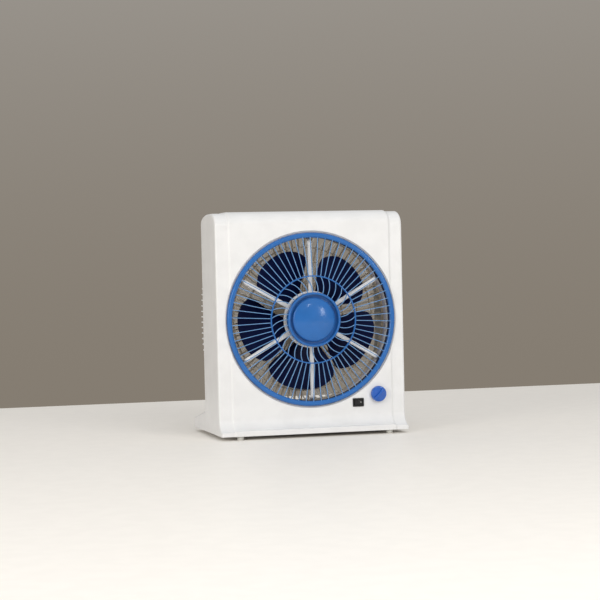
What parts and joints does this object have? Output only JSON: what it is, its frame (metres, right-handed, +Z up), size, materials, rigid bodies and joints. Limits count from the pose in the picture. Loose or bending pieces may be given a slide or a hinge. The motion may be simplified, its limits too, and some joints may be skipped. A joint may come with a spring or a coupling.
{
  "type": "box fan",
  "caption": "Table-top box fan in an arched case: a turning round louvre grille in front of a bladed impeller, with a speed knob and a rocker switch.",
  "frame": {"origin": "centre of the overall box in X and Y, on the surface that the feet stand on", "axes": "+X to the right seen from the front, +Y from the front grille to the back, +Z up"},
  "size_m": [0.32, 0.227, 0.373],
  "materials": {
    "white_plastic": "satin moulded white",
    "cream_plastic": "satin moulded cream white",
    "grey_plastic": "matt grey",
    "blue_plastic": "glossy sky blue",
    "navy_plastic": "glossy navy",
    "royal_blue_plastic": "glossy royal blue",
    "black_plastic": "fine grained black",
    "pale_rubber": "matt pale",
    "bright_steel": "bright turned",
    "lamination_steel": "dark laminated",
    "enamelled_copper": "enamelled copper wire",
    "zinc_plate": "dull zinc plate"
  },
  "bodies": {
    "case": {"front_shell": "white_plastic", "rear_shell": "white_plastic", "base_plate": "white_plastic", "spider": "white_plastic", "duct_ring": "grey_plastic", "motor_grid": "cream_plastic", "rear_guard": "cream_plastic", "louvre_motor": "zinc_plate", "motor_front_bracket": "zinc_plate", "motor_rear_bracket": "zinc_plate", "stator_core": "lamination_steel", "front_winding": "enamelled_copper", "rear_winding": "enamelled_copper", "front_bearing": "bright_steel", "rear_bearing": "bright_steel", "speed_switch": "black_plastic", "rocker_frame": "black_plastic", "mains_inlet": "black_plastic", "inlet_pin_1": "bright_steel", "inlet_pin_2": "bright_steel", "terminal_block": "cream_plastic", "capacitor": "grey_plastic", "foot_front_left": "pale_rubber", "foot_front_right": "pale_rubber", "foot_rear_left": "pale_rubber", "foot_rear_right": "pale_rubber", "shell_screw_1": "bright_steel", "guard_screw_1": "bright_steel", "motor_screw_1": "bright_steel", "shell_screw_2": "bright_steel", "guard_screw_2": "bright_steel", "motor_screw_2": "bright_steel", "shell_screw_3": "bright_steel", "guard_screw_3": "bright_steel", "motor_screw_3": "bright_steel", "shell_screw_4": "bright_steel", "guard_screw_4": "bright_steel", "motor_screw_4": "bright_steel"},
    "louvre": {"louvre_grille": "blue_plastic", "louvre_skirt": "navy_plastic", "hub_cap": "blue_plastic", "louvre_shaft": "bright_steel", "louvre_screw": "bright_steel"},
    "impeller_unit": {"impeller": "navy_plastic", "impeller_nut": "navy_plastic", "motor_shaft": "bright_steel", "rotor": "lamination_steel"},
    "knob": {"speed_knob": "royal_blue_plastic", "switch_spindle": "bright_steel"},
    "rocker_key": {"rocker": "black_plastic"}
  },
  "joints": [
    {"name": "louvre_spin", "type": "hinge", "parent": "case", "child": "louvre", "pos_m": [0, -0.1035, 0.1933], "axis": [0, -1, 0], "continuous": true},
    {"name": "impeller_spin", "type": "hinge", "parent": "case", "child": "impeller_unit", "pos_m": [0, -0.0605, 0.1933], "axis": [0, -1, 0], "continuous": true},
    {"name": "knob_turn", "type": "hinge", "parent": "case", "child": "knob", "pos_m": [0.1115, -0.0935, 0.0661], "axis": [0, -1, 0], "range_deg": [-135, 0]},
    {"name": "rocker_tilt", "type": "hinge", "parent": "case", "child": "rocker_key", "pos_m": [0.077, -0.0905, 0.0528], "axis": [0, 0, 1], "range_deg": [-14, 0]}
  ]
}
